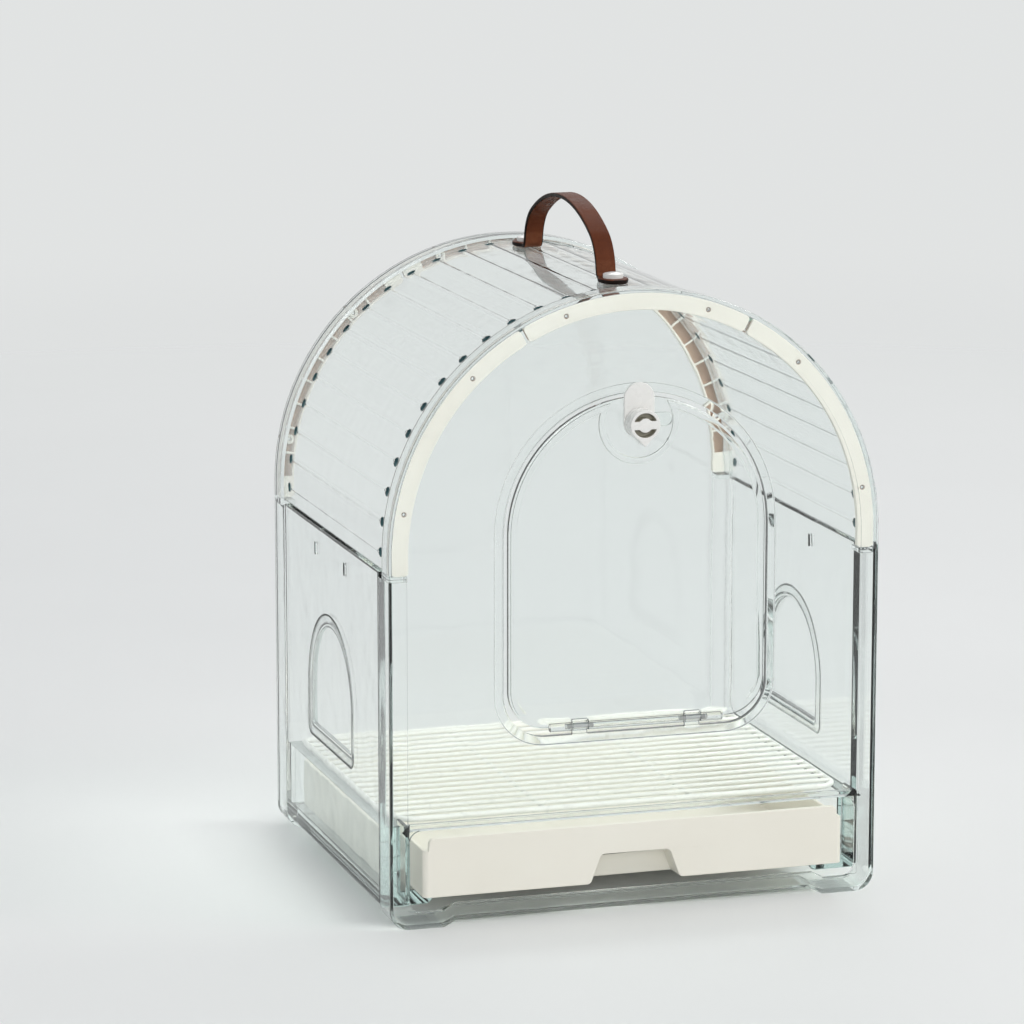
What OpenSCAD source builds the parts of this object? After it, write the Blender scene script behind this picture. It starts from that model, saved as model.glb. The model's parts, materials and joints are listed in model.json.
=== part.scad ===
// Bird travel carrier: a clear arched cabin between two clear covers, with a hinged front door,
// a quarter-turn lock, side panels with feeder windows, a wire grate, a pull-out tray and a strap.

/* [Cabin] */
// Width across the covers
body_w = 260; // [244:2:290]
// Height from the floor to the crown of the covers
body_h = 320; // [312:2:350]
// Depth from the front cover's face to the rear cover's face
body_d = 226; // [214:2:260]
// Drop from the spring line of the arch to the seam between shell and side panels
seam_drop = 9; // [6:1:14]
// Gap left between pieces that lift or slide apart
fit_gap = 0.3; // [0.2:0.05:0.5]

/* [Covers] */
// Thickness of the cover's face round its edge
face_t = 3; // [2.5:0.25:4]
// How far the middle of the face lies behind its edge band
field_drop = 0.8; // [0.4:0.1:1.2]
// Width of the raised band round the face
band_w = 9.4; // [8:0.2:11]
// Thickness of the rim wall
rim_t = 2; // [1.6:0.1:2.4]
// Depth of the rim over the arched shell, from the front of the cover
rim_over_shell = 13; // [11:0.5:15]
// Depth of the rim beside the side panels, from the front of the cover
rim_over_panel = 20; // [18:0.5:24]
// Radius of the covers' lower outer corners
foot_corner_r = 10; // [6:1:14]
// Length of each foot along the width
foot_w = 34; // [28:1:40]
// Height of the underside between the feet
foot_rise = 3; // [2:0.5:4]
// Length of the slope from a foot up to the underside
foot_slope = 6; // [4:1:10]
// Reach of the small shelf under each lower edge of the shell
shelf_w = 8; // [4:0.5:10]
// Thickness of the small shelf
shelf_t = 2.5; // [2:0.25:3]

/* [Drawer slot] */
// Height of the slot's lower edge at its ends
slot_z = 8.5; // [7.5:0.5:9.5]
// Height of the slot's upper edge
slot_top_z = 50.6; // [49.6:0.2:53]
// Width of the cover left on each side of the slot
slot_side = 10.5; // [9.5:0.5:11.5]
// Corner radius of the slot
slot_corner_r = 6; // [3:1:8]
// Height of the rib along the top of the slot
slot_rib_h = 2.5; // [2:0.25:4]
// Depth of the rib behind the cover's face
slot_rib_d = 5; // [3:0.5:8]
// Thickness of the guide beside each end of the slot
guide_t = 2; // [1.6:0.1:2.6]

/* [Door] */
// Width of the arched doorway
doorway_w = 140; // [130:2:150]
// Height of the doorway's lower edge
doorway_z = 94.5; // [90:0.5:98]
// Height of the doorway's crown
doorway_top_z = 268; // [262:1:274]
// Radius of the doorway's lower corners
doorway_corner_r = 22; // [16:1:26]
// Clearance between the door and the doorway
door_gap = 2; // [1.5:0.25:2.5]
// Thickness of the door
door_t = 3; // [2.5:0.25:3.5]
// Width of the raised bead on the door
bead_w = 3; // [2:0.5:4]
// Height of the raised bead on the door
bead_h = 1.2; // [0.8:0.1:1.6]
// Clearance between the turning cam and the inside of the bead's dip
bead_dip_gap = 1.5; // [1:0.25:2.5]
// Width of the lip behind the doorway's edge
lip_w = 4.5; // [3:0.5:6]
// Depth of the lip behind the doorway's edge
lip_h = 1.6; // [1:0.2:2]
// Radius of the hinge barrel along the door's lower edge
hinge_r = 2.4; // [2.2:0.1:2.8]
// Radius of the hinge pins
hinge_pin_r = 1; // [0.8:0.1:1.2]
// Distance of each hinge lug from the middle
hinge_lug_x = 30; // [20:1:36]
// Width of each hinge lug
hinge_lug_w = 8; // [6:1:10]
// Reach of each hinge pin into the door beside its lug
hinge_pin_grip = 3; // [2:0.5:5]
// Height over which the bead is left out above the hinge
bead_foot = 8; // [6:0.5:12]

/* [Lock] */
// Distance of the lock's axis below the door's crown
lock_drop = 13; // [12:0.5:15]
// Radius of the round knob
knob_r = 7.8; // [7:0.2:8.4]
// Height of the knob
knob_h = 9.4; // [5:0.2:11]
// Reach of the knob's pointer from the axis
pointer_r = 10.6; // [10:0.1:12]
// Half width of the pointer's tip
pointer_tip = 0.4; // [0.3:0.1:1]
// How far inside the round the pointer's sides start
pointer_inset = 0.4; // [0.3:0.1:1]
// Half width of the plate under the knob
plate_r = 8; // [7.6:0.2:9]
// How far the plate laps over the cover above the doorway
plate_lap = 5.3; // [4:0.1:6.5]
// Thickness of the plate under the knob
plate_t = 1.6; // [1.2:0.1:2]
// Radius of the turning spindle
spindle_r = 3; // [2.6:0.1:3.4]
// Radial clearance of the spindle in its bores
spindle_gap = 0.06; // [0.04:0.01:0.09]
// How far the cam catches behind the cover when the lock is closed
cam_catch = 4.5; // [3:0.5:6]
// Width of the cam's arm
cam_w = 7; // [6:0.5:8]
// Thickness of the cam
cam_t = 2; // [1.6:0.1:2.4]
// Radius of the cam's round hub
cam_hub_r = 5.2; // [4.6:0.2:6]
// Half width of the knob's grip
grip_half = 2.1; // [1.5:0.1:2.6]
// Radius of the round boss in the middle of the grip
grip_boss_r = 3.6; // [2.8:0.1:4.4]
// Width of the knob's wall round the recesses
knob_wall = 1.6; // [1.2:0.1:2]
// Depth of the recesses beside the grip
grip_recess = 5; // [2:0.2:6]
// Radius of the screw that holds the cam
cam_screw_r = 1.2; // [1:0.1:1.5]

/* [Arched shell] */
// Thickness of the bent sheet
shell_t = 2; // [1.6:0.1:2.6]
// Number of vent holes in each row
vent_count = 27; // [15:2:31]
// Diameter of a vent hole
vent_d = 4.6; // [3:0.2:6]
// Distance of each vent row from the cover's rim
vent_from_rim = 10; // [6:0.5:14]
// Width of the round-bottomed grooves that join the vent rows
score_w = 1.4; // [0.8:0.1:2]
// Depth of the grooves
score_depth = 0.1; // [0.1:0.05:0.3]

/* [Trim arcs] */
// Radial width of the trim arcs
trim_w = 8.6; // [7.6:0.2:9.4]
// Thickness of the trim arcs
trim_t = 3; // [2.6:0.1:3.4]
// Clearance between a trim arc and the cover's face
trim_clear = 0.1; // [0.05:0.05:0.2]
// Half of the angle that the middle arc spans
trim_mid_half = 28; // [24:1:36]
// Gap between neighbouring arcs
trim_gap = 1.8; // [1:0.2:3]
// Corner radius of the trim arcs
trim_corner_r = 2; // [1:0.25:3]
// Angle between neighbouring pockets in the back of an arc
pocket_pitch = 6.2; // [5:0.2:9]
// Wall left round each pocket
pocket_wall = 1.2; // [0.8:0.1:1.6]
// Depth of the pockets
pocket_depth = 1.8; // [1:0.1:2]
// Radius of the locating pins on the covers
locator_r = 0.8; // [0.6:0.1:1]

/* [Side panels] */
// Thickness of the upper wall
panel_t = 5.5; // [5:0.25:6]
// Thickness of the lower wall that carries the grate
web_t = 12.5; // [12:0.25:13]
// Height of the ledge under the grate
ledge_z = 49; // [48:0.5:50]
// Height of the panel's lower face
panel_z = 7; // [5:0.5:8]
// Thickness of the inward flange under the tray
flange_t = 8; // [6:0.5:9]
// Reach of the flange from the outer face
flange_reach = 28; // [22:1:34]
// Fillet between the wall and the flange
flange_fillet = 0.5; // [0.4:0.1:0.8]
// Height of the two small slots near the top
tab_slot_h = 6; // [4:1:9]
// Width of the two small slots near the top
tab_slot_w = 2; // [1.4:0.2:3]
// Distance of each small slot from the panel's middle
tab_slot_y = 28.5; // [20:0.5:36]

/* [Feeder windows] */
// Width of the window
window_w = 80; // [70:1:90]
// Height of the window
window_h = 63; // [56:1:70]
// Height of the window's lower edge
window_z = 71; // [66:1:76]
// How far the feeder cover laps over the window's edge
lap = 4; // [3:0.5:6]
// Thickness of the feeder cover's plate
feeder_t = 2.2; // [1.8:0.1:2.6]
// Thickness of the plug wall behind the feeder cover
plug_t = 1.6; // [1.2:0.1:2]
// Depth of the plug wall
plug_depth = 2.4; // [1.6:0.1:2.6]

/* [Grate] */
// Gap between the grate and the side panels' upper walls
grate_side_gap = 4.5; // [4:0.25:5]
// Gap between the grate and the ends of the side panels
grate_end_gap = 2.7; // [2:0.1:8]
// Radius of the frame's wire
frame_wire_r = 1.5; // [1.2:0.1:2]
// Radius of the bars' wire
bar_r = 1.1; // [0.9:0.1:1.4]
// Distance between neighbouring bars
bar_pitch = 10; // [8:0.5:12]
// Corner radius of the grate's frame
grate_corner_r = 12; // [8:1:20]

/* [Tray] */
// Gap under the tray
tray_lift = 0.6; // [0.4:0.1:0.8]
// Gap between the tray and the side panels' lower walls
tray_side_gap = 5; // [4.6:0.1:6]
// Distance of the tray's front behind the cover's face
tray_set_back = 0.5; // [0:0.1:1]
// Space left behind the tray
tray_rear_gap = 22.5; // [18:0.5:40]
// Height of the side and rear walls
tray_h = 24.6; // [20:0.2:28]
// Gap between the tray's front wall and the top of the slot
tray_front_gap = 4.3; // [4.2:0.1:6]
// Thickness of the tray's walls
tray_t = 2; // [1.6:0.1:2.6]
// Thickness of the tray's front wall
tray_front_t = 3; // [2.4:0.1:4]
// Corner radius of the tray
tray_corner_r = 3; // [2.6:0.2:6]
// Width of the finger notch at the bottom
notch_w = 48; // [36:1:60]
// Width of the finger notch at its top
notch_top_w = 37; // [30:1:34]
// Height of the finger notch
notch_h = 15; // [12:0.5:18]
// Depth of the finger pocket behind the notch
notch_d = 14; // [10:1:18]

/* [Handle] */
// Distance between the strap's two creases
strap_span = 119; // [100:1:130]
// Height of the strap's underside above its ends
strap_rise = 34; // [28:1:44]
// Width of the strap
strap_w = 10.5; // [8:0.5:14]
// Thickness of the strap
strap_t = 2.2; // [1.6:0.1:2.8]
// Radius of the strap's two shoulders
strap_shoulder_r = 22; // [14:1:24]
// Inside radius of the creases
crease_r = 2; // [1:0.5:3]
// Half width of the strap's round ends
paddle_r = 7.75; // [6:0.25:9]
// Distance from a crease to the screw
screw_from_crease = 13; // [11:0.5:15]
// Radius of the screw caps
cap_r = 5.2; // [4:0.1:6]
// Height of the screw caps
cap_h = 3; // [2:0.25:4]
// Radius of the screws
screw_r = 2.1; // [1.6:0.1:2.4]
// Length of each screw below the strap
screw_l = 8; // [7:0.5:12]
// Outer radius of the metal rings in the strap's holes
eyelet_r = 3.15; // [2.8:0.05:3.6]
// Radius of the nuts under the crown
nut_r = 5; // [4:0.25:6]
// Height of the nuts under the crown
nut_h = 4; // [3:0.25:5]

/* [Hidden] */
$fn = 96;

eps = 0.01;
arch_r = body_w / 2;
arch_z = body_h - arch_r;
seam_z = arch_z - seam_drop;
half_d = body_d / 2;
face_back_y = -half_d + face_t;
field_y = -half_d + field_drop;

shell_r = arch_r - rim_t - fit_gap;
shell_half_l = half_d - face_t - trim_clear - trim_t - fit_gap;
shell_low_z = seam_z + fit_gap;
vent_y = half_d - rim_over_shell - vent_from_rim;
score_r = (score_w ^ 2 / 4 + score_depth ^ 2) / (2 * score_depth);

trim_r = arch_r - rim_t - 0.2;
trim_front_y = face_back_y + trim_clear;
trim_low_z = seam_z + fit_gap;
panel_half_l = half_d - rim_over_panel - fit_gap;
tray_z = panel_z + flange_t + tray_lift;
grate_z = ledge_z + fit_gap + frame_wire_r;
grate_w = body_w - 2 * (panel_t + grate_side_gap);
grate_d = 2 * (panel_half_l - grate_end_gap);
tray_w = body_w - 2 * (web_t + tray_side_gap);
tray_l = body_d - face_t - tray_set_back - tray_rear_gap;
tray_front_h = slot_top_z - tray_z - tray_front_gap;

door_r = doorway_w / 2 - door_gap;
door_top_z = doorway_top_z - door_gap;
hinge_y = -half_d + door_t / 2;
hinge_z = doorway_z + hinge_r + 2.1;
lock_z = door_top_z - lock_drop;
plate_reach = lock_drop + door_gap + plate_lap;
cam_reach = lock_drop + door_gap + cam_catch;
bead_dip_r = cam_reach + bead_dip_gap;
plate_front_y = -half_d - plate_t;
knob_back_y = plate_front_y - 0.2;
knob_front_y = knob_back_y - knob_h;
lock_reach = -half_d - knob_front_y;
cam_front_y = face_back_y + lip_h + 0.5;
cam_back_y = cam_front_y + cam_t;

crest_z = arch_z + shell_r;
strap_z = crest_z + fit_gap;
screw_y = strap_span / 2 + screw_from_crease;

// Sets the finished pieces so that the whole object is centred on the origin
module placed() {
    translate([0, lock_reach / 2, 0]) children();
}

// Stands a flat outline up, facing forward, and gives it a depth from y0 to y1
module upright(y0, y1) {
    translate([0, y1, 0]) rotate([90, 0, 0]) linear_extrude(y1 - y0) children();
}

// Gives an outline drawn along the depth a width from x0 to x1
module sideways(x0, x1) {
    translate([x0, 0, 0]) rotate([90, 0, 90]) linear_extrude(x1 - x0) children();
}

// Outline with a round top, straight sides and round lower corners
module arched(half_w, z0, z1, corner) {
    spring = z1 - half_w;
    intersection() {
        translate([0, spring]) circle(half_w);
        translate([-half_w, spring - eps]) square([2 * half_w, half_w + 1]);
    }
    translate([-half_w, z0 + corner]) square([2 * half_w, spring - z0 - corner]);
    translate([-half_w + corner, z0]) square([2 * (half_w - corner), corner + 1]);
    for (side = [-1, 1]) translate([side * (half_w - corner), z0 + corner]) circle(corner);
}

// Outline with round corners
module rounded(x0, z0, x1, z1, r) {
    translate([x0 + r, z0]) square([x1 - x0 - 2 * r, z1 - z0]);
    translate([x0, z0 + r]) square([x1 - x0, z1 - z0 - 2 * r]);
    for (x = [x0 + r, x1 - r], z = [z0 + r, z1 - r]) translate([x, z]) circle(r, $fn = 32);
}

// Space under the cover between its feet, raised by rise
module between_feet(rise) {
    inner = arch_r - foot_w;
    polygon([[-inner - foot_slope, -1], [-inner - foot_slope, rise], [-inner, rise + foot_rise],
             [inner, rise + foot_rise], [inner + foot_slope, rise], [inner + foot_slope, -1]]);
}

// Outline of a cover, drawn in by inset
module cover_outline(inset) {
    difference() {
        arched(arch_r - inset, inset, body_h - inset, max(foot_corner_r - inset, 1));
        between_feet(inset);
    }
}

module rim_ring() {
    difference() {
        cover_outline(0);
        cover_outline(rim_t);
    }
}

// Ring sector between two angles
module sector(r0, r1, a0, a1) {
    far = r1 * 1.5;
    mid = (a0 + a1) / 2;
    intersection() {
        difference() {
            circle(r1);
            circle(r0);
        }
        polygon([[0, 0], far * [cos(a0), sin(a0)], far * [cos(mid), sin(mid)], far * [cos(a1), sin(a1)]]);
    }
}

// Ring sector with round corners
module round_sector(r0, r1, a0, a1, corner) {
    skip_in = asin(corner / (r0 + corner));
    skip_out = asin(corner / (r1 - corner));
    sector(r0 + corner, r1 - corner, a0, a1);
    sector(r0, r1, a0 + skip_in, a1 - skip_in);
    for (a = [a0 + skip_in, a1 - skip_in]) rotate(a) translate([r0 + corner, 0]) circle(corner, $fn = 24);
    for (a = [a0 + skip_out, a1 - skip_out]) rotate(a) translate([r1 - corner, 0]) circle(corner, $fn = 24);
}

// Places where the pins of a cover meet the trim arcs, as angles from the right-hand spring line
side_locators = [10.5, 90 - trim_mid_half - 16];
mid_locators = [90 - trim_mid_half + 10.4, 90 + trim_mid_half - 10.4];
trim_mid_r = trim_r - trim_w / 2;

module locator_holes(angles, r) {
    for (a = angles) rotate(a) translate([trim_mid_r, 0]) circle(r, $fn = 24);
}

// What the two covers share, facing forward
module cover_body() {
    upright(-half_d, face_back_y) difference() {
        cover_outline(0);
        cover_outline(band_w);
    }
    upright(field_y, face_back_y) cover_outline(band_w - 0.5);
    // Rim wall, deeper below the seam
    upright(face_back_y - eps, -half_d + rim_over_shell) rim_ring();
    upright(-half_d + rim_over_shell - eps, -half_d + rim_over_panel) intersection() {
        rim_ring();
        translate([-arch_r, 0]) square([2 * arch_r, seam_z - shelf_t]);
    }
    // Shelf under each lower edge of the shell
    for (side = [-1, 1])
        upright(face_back_y - eps, -half_d + rim_over_shell)
            translate([side > 0 ? arch_r - rim_t - shelf_w : -arch_r + rim_t - eps, seam_z - shelf_t])
                square([shelf_w + eps, shelf_t]);
    // Pins that hold the trim arcs
    upright(face_back_y - eps, face_back_y + trim_t - 0.8) translate([0, arch_z]) {
        locator_holes(side_locators, locator_r);
        locator_holes([for (a = side_locators) 180 - a], locator_r);
        locator_holes(mid_locators, locator_r);
    }
}

// Slot for the tray, with its lower edge following the foot
module drawer_slot() {
    half = arch_r - slot_side;
    difference() {
        rounded(-half, slot_z, half, slot_top_z, slot_corner_r);
        translate([0, slot_z]) between_feet(0.5);
    }
}

module front_cover() {
    color([0.82, 0.93, 0.9, 0.35]) {
        difference() {
            cover_body();
            upright(-half_d - 1, face_back_y + 1) {
                arched(doorway_w / 2, doorway_z, doorway_top_z, doorway_corner_r);
                drawer_slot();
            }
        }
        // Lip behind the doorway's edge
        upright(face_back_y - eps, face_back_y + lip_h) difference() {
            arched(doorway_w / 2 + lip_w, doorway_z - lip_w, doorway_top_z + lip_w,
                   doorway_corner_r + lip_w);
            arched(doorway_w / 2, doorway_z, doorway_top_z, doorway_corner_r);
        }
        // Rib along the top of the drawer slot
        slot_half = arch_r - slot_side;
        upright(face_back_y - eps, face_back_y + slot_rib_d)
            translate([-slot_half, slot_top_z]) square([2 * slot_half, slot_rib_h]);
        // Guide beside each end of the drawer slot
        for (side = [-1, 1])
            upright(face_back_y - eps, -half_d + rim_over_panel)
                translate([side > 0 ? slot_half : -slot_half - guide_t, slot_z + slot_corner_r])
                    square([guide_t, slot_top_z - slot_z - slot_corner_r + slot_rib_h]);
        // Lugs of the door's hinge
        for (side = [-1, 1])
            sideways(side * hinge_lug_x - hinge_lug_w / 2, side * hinge_lug_x + hinge_lug_w / 2)
                difference() {
                    union() {
                        translate([hinge_y, hinge_z]) circle(hinge_r, $fn = 32);
                        translate([field_y, doorway_z - 1])
                            square([face_back_y - field_y, hinge_z - doorway_z + 1]);
                    }
                    translate([hinge_y, hinge_z]) circle(hinge_pin_r + 0.05, $fn = 32);
                }
    }
}

module rear_cover() {
    color([0.82, 0.93, 0.9, 0.35]) mirror([0, 1, 0]) cover_body();
}

module arch_shell() {
    color([0.85, 0.95, 0.92, 0.3]) difference() {
        upright(-shell_half_l, shell_half_l) difference() {
            union() {
                translate([0, arch_z]) circle(shell_r);
                translate([-shell_r, shell_low_z]) square([2 * shell_r, arch_z - shell_low_z]);
            }
            translate([0, arch_z]) circle(shell_r - shell_t);
            translate([-shell_r + shell_t, 0]) square([2 * (shell_r - shell_t), arch_z]);
            translate([-shell_r - 1, 0]) square([2 * shell_r + 2, shell_low_z]);
        }
        translate([0, 0, arch_z]) for (i = [0:vent_count - 1]) {
            angle = i * 180 / (vent_count - 1);
            rotate([0, 90 - angle, 0]) {
                for (y = [-vent_y, vent_y])
                    translate([0, y, shell_r - shell_t - 1]) cylinder(h = shell_t + 2, d = vent_d, $fn = 24);
                translate([0, -vent_y + vent_d, shell_r - score_depth + score_r]) rotate([-90, 0, 0])
                    cylinder(h = 2 * (vent_y - vent_d), r = score_r, $fn = 48);
            }
        }
        for (side = [-1, 1])
            translate([0, side * screw_y, crest_z - shell_t - 2])
                cylinder(h = shell_t + 4, r = screw_r + fit_gap, $fn = 32);
    }
}

// Trim arc seen from its smooth face, from the lower end of the right-hand side up to end_angle
module side_trim_outline(end_angle) {
    r0 = trim_r - trim_w;
    translate([0, arch_z]) {
        round_sector(r0, trim_r, -3, end_angle, trim_corner_r);
    }
    translate([r0, arch_z - 8]) square([trim_w, 8.1]);
    rounded(r0, trim_low_z, trim_r, arch_z - 2, trim_corner_r);
}

module pockets(a0, a1) {
    count = floor((a1 - a0) / pocket_pitch);
    wall_angle = pocket_wall / trim_mid_r * 180 / PI;
    for (i = [0:count - 1])
        sector(trim_r - trim_w + pocket_wall, trim_r - pocket_wall,
               a0 + i * pocket_pitch + wall_angle / 2, a0 + (i + 1) * pocket_pitch - wall_angle / 2);
}

gap_angle = trim_gap / trim_mid_r * 180 / PI;
boss_r = 2.6;

module right_trim() {
    end_angle = 90 - trim_mid_half - gap_angle;
    color([0.95, 0.93, 0.88]) difference() {
        upright(trim_front_y, trim_front_y + trim_t) difference() {
            side_trim_outline(end_angle);
            translate([0, arch_z]) locator_holes(side_locators, locator_r + 0.3);
        }
        upright(trim_front_y + trim_t - pocket_depth, trim_front_y + trim_t + 1)
            translate([0, arch_z]) difference() {
                pockets(1, end_angle - 1.5);
                locator_holes(side_locators, boss_r);
            }
    }
}

module middle_trim() {
    a0 = 90 - trim_mid_half;
    a1 = 90 + trim_mid_half;
    color([0.95, 0.93, 0.88]) difference() {
        upright(trim_front_y, trim_front_y + trim_t) translate([0, arch_z]) difference() {
            round_sector(trim_r - trim_w, trim_r, a0, a1, trim_corner_r);
            locator_holes(mid_locators, locator_r + 0.3);
        }
        upright(trim_front_y + trim_t - pocket_depth, trim_front_y + trim_t + 1)
            translate([0, arch_z]) difference() {
                pockets(a0 + 1.5, a1 - 1.5);
                locator_holes(mid_locators, boss_r);
            }
    }
}

module front_trim_left() { mirror([1, 0, 0]) right_trim(); }
module front_trim_middle() { middle_trim(); }
module front_trim_right() { right_trim(); }
module rear_trim_left() { mirror([0, 1, 0]) mirror([1, 0, 0]) right_trim(); }
module rear_trim_middle() { mirror([0, 1, 0]) middle_trim(); }
module rear_trim_right() { mirror([0, 1, 0]) right_trim(); }

// Outline of the door, drawn in by inset
module door_outline(inset) {
    arched(door_r - inset, hinge_z + inset, door_top_z - inset, doorway_corner_r - door_gap - inset);
}

// Bead round the door, dipping round the lock
module bead_outline() {
    difference() {
        door_outline(1);
        door_outline(1 + bead_w);
        translate([0, lock_z]) circle(bead_dip_r);
        translate([-door_r, 0]) square([2 * door_r, hinge_z + bead_foot]);
    }
    intersection() {
        door_outline(1);
        translate([0, lock_z]) difference() {
            circle(bead_dip_r);
            circle(bead_dip_r - bead_w);
        }
    }
}

module door() {
    barrel_half = doorway_w / 2 - doorway_corner_r - 2;
    color([0.82, 0.93, 0.9, 0.35]) difference() {
        union() {
            upright(-half_d, -half_d + door_t) door_outline(0);
            upright(-half_d - bead_h, -half_d + 0.5) bead_outline();
            sideways(-barrel_half, barrel_half) translate([hinge_y, hinge_z]) circle(hinge_r, $fn = 32);
        }
        upright(-half_d - hinge_r, -half_d + door_t + hinge_r) {
            translate([0, lock_z]) circle(spindle_r + spindle_gap, $fn = 48);
            for (side = [-1, 1])
                translate([side * hinge_lug_x - hinge_lug_w / 2 - fit_gap, hinge_z - hinge_r - 1])
                    square([hinge_lug_w + 2 * fit_gap, 2 * hinge_r + 2]);
        }
        sideways(-hinge_lug_x - hinge_lug_w, hinge_lug_x + hinge_lug_w)
            translate([hinge_y, hinge_z]) circle(hinge_pin_r, $fn = 32);
    }
}

module door_hinge_pins() {
    reach = hinge_lug_w / 2 + hinge_pin_grip;
    color("silver") for (side = [-1, 1])
        sideways(side * hinge_lug_x - reach, side * hinge_lug_x + reach)
            translate([hinge_y, hinge_z]) circle(hinge_pin_r, $fn = 32);
}

// Plate that stands over the doorway's edge and stops the door at the front face
module lock_plate() {
    color([0.95, 0.94, 0.9]) upright(plate_front_y, -half_d) difference() {
        union() {
            translate([0, lock_z]) circle(plate_r);
            translate([-plate_r, lock_z]) square([2 * plate_r, plate_reach - plate_r]);
            translate([0, lock_z + plate_reach - plate_r]) circle(plate_r);
        }
        translate([0, lock_z]) circle(spindle_r + spindle_gap, $fn = 48);
    }
}

// Round knob that runs out into a pointer
module lock_knob() {
    side_z = knob_r ^ 2 / pointer_r;
    side_x = sqrt(knob_r ^ 2 - side_z ^ 2) - pointer_inset;
    color([0.96, 0.95, 0.92]) {
        difference() {
            upright(knob_front_y, knob_back_y) translate([0, lock_z]) {
                circle(knob_r);
                polygon([[-side_x, -side_z], [side_x, -side_z], [pointer_tip, -pointer_r],
                         [-pointer_tip, -pointer_r]]);
            }
            // Crescent recesses above and below the grip
            upright(knob_front_y - 1, knob_front_y + grip_recess) translate([0, lock_z]) difference() {
                circle(knob_r - knob_wall, $fn = 48);
                translate([-knob_r, -grip_half]) square([2 * knob_r, 2 * grip_half]);
                circle(grip_boss_r, $fn = 48);
            }
        }
        // Spindle down to the cam, bored for the screw
        difference() {
            upright(knob_back_y - eps, cam_front_y - 0.1) translate([0, lock_z]) circle(spindle_r, $fn = 48);
            upright(cam_front_y - 4, cam_front_y) translate([0, lock_z])
                circle(cam_screw_r + 0.1, $fn = 32);
        }
    }
}

// Cam behind the door, pointing sideways while the lock is open
module lock_cam() {
    color([0.85, 0.92, 0.9, 0.6]) upright(cam_front_y, cam_back_y) translate([0, lock_z]) difference() {
        union() {
            circle(cam_hub_r, $fn = 48);
            translate([0, -cam_w / 2]) square([cam_reach - cam_w / 2, cam_w]);
            translate([cam_reach - cam_w / 2, 0]) circle(cam_w / 2, $fn = 32);
        }
        circle(cam_screw_r + 0.1, $fn = 32);
    }
}

// Screw that holds the cam on the spindle
module lock_screw() {
    color("silver") {
        upright(cam_back_y, cam_back_y + 1.6) translate([0, lock_z]) circle(2.3 * cam_screw_r, $fn = 32);
        upright(cam_front_y - 3.5, cam_back_y + eps) translate([0, lock_z]) circle(cam_screw_r, $fn = 32);
    }
}

// Section of the right-hand side panel
module panel_section() {
    outer = arch_r;
    flange_top = panel_z + flange_t;
    end_r = flange_t / 2;
    difference() {
        union() {
            translate([outer - panel_t, ledge_z - 1]) square([panel_t, seam_z - fit_gap - ledge_z + 1]);
            translate([outer - web_t, panel_z + 3]) square([web_t, ledge_z - panel_z - 3]);
            translate([outer - flange_reach + end_r, panel_z]) square([flange_reach - end_r - 3, flange_t]);
            translate([outer - flange_reach + end_r, panel_z + end_r]) circle(end_r, $fn = 48);
            translate([outer - 3, panel_z + 3]) circle(3, $fn = 32);
            translate([outer - web_t - flange_fillet, flange_top - 1])
                square([flange_fillet + 1, flange_fillet + 1]);
        }
        translate([outer - web_t - flange_fillet, flange_top + flange_fillet])
            circle(flange_fillet, $fn = 48);
    }
}

// Arched outline of a feeder window, grown by extra
module window_outline(extra) {
    arched(window_w / 2 + extra, window_z - extra, window_z + window_h + extra, 3 + extra / 2);
}

module side_panel() {
    color([0.82, 0.93, 0.9, 0.35]) difference() {
        upright(-panel_half_l, panel_half_l) panel_section();
        sideways(arch_r - panel_t - 1, arch_r + 1) {
            window_outline(0);
            for (side = [-1, 1])
                translate([side * tab_slot_y - tab_slot_w / 2, seam_z - 9 - tab_slot_h])
                    square([tab_slot_w, tab_slot_h]);
        }
        sideways(arch_r - feeder_t - fit_gap, arch_r + 1) window_outline(lap + fit_gap);
    }
}

module right_side_panel() { side_panel(); }
module left_side_panel() { mirror([1, 0, 0]) side_panel(); }

module feeder_cover() {
    color([0.85, 0.95, 0.92, 0.35]) {
        sideways(arch_r - feeder_t, arch_r) window_outline(lap);
        sideways(arch_r - feeder_t - plug_depth, arch_r - feeder_t + eps) difference() {
            window_outline(-fit_gap - 0.1);
            window_outline(-fit_gap - 0.1 - plug_t);
        }
    }
}

module right_feeder_cover() { feeder_cover(); }
module left_feeder_cover() { mirror([1, 0, 0]) feeder_cover(); }

module wire_grate() {
    half_x = grate_w / 2 - frame_wire_r;
    half_y = grate_d / 2 - frame_wire_r;
    corner = grate_corner_r - frame_wire_r;
    bar_half_count = floor((half_y - 6) / bar_pitch);
    bar_z = grate_z + frame_wire_r - bar_r + 0.5;
    cross_z = bar_z - 2 * bar_r + 0.3;
    color([0.95, 0.95, 0.93]) {
        for (side = [-1, 1]) {
            translate([-half_x + corner, side * half_y, grate_z]) rotate([0, 90, 0])
                cylinder(h = 2 * (half_x - corner), r = frame_wire_r, $fn = 24);
            translate([side * half_x, -half_y + corner, grate_z]) rotate([-90, 0, 0])
                cylinder(h = 2 * (half_y - corner), r = frame_wire_r, $fn = 24);
            // Cross wires under the bars at a third of the width
            translate([side * grate_w / 6, -half_y, cross_z]) rotate([-90, 0, 0])
                cylinder(h = 2 * half_y, r = bar_r, $fn = 24);
        }
        for (turn = [0:3]) {
            x = turn == 0 || turn == 3 ? half_x - corner : -half_x + corner;
            y = turn < 2 ? half_y - corner : -half_y + corner;
            translate([x, y, grate_z]) rotate([0, 0, turn * 90])
                rotate_extrude(angle = 90) translate([corner, 0]) circle(frame_wire_r, $fn = 24);
        }
        for (i = [-bar_half_count:bar_half_count])
            translate([-half_x, i * bar_pitch, bar_z]) rotate([0, 90, 0])
                cylinder(h = 2 * half_x, r = bar_r, $fn = 24);
    }
}

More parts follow.
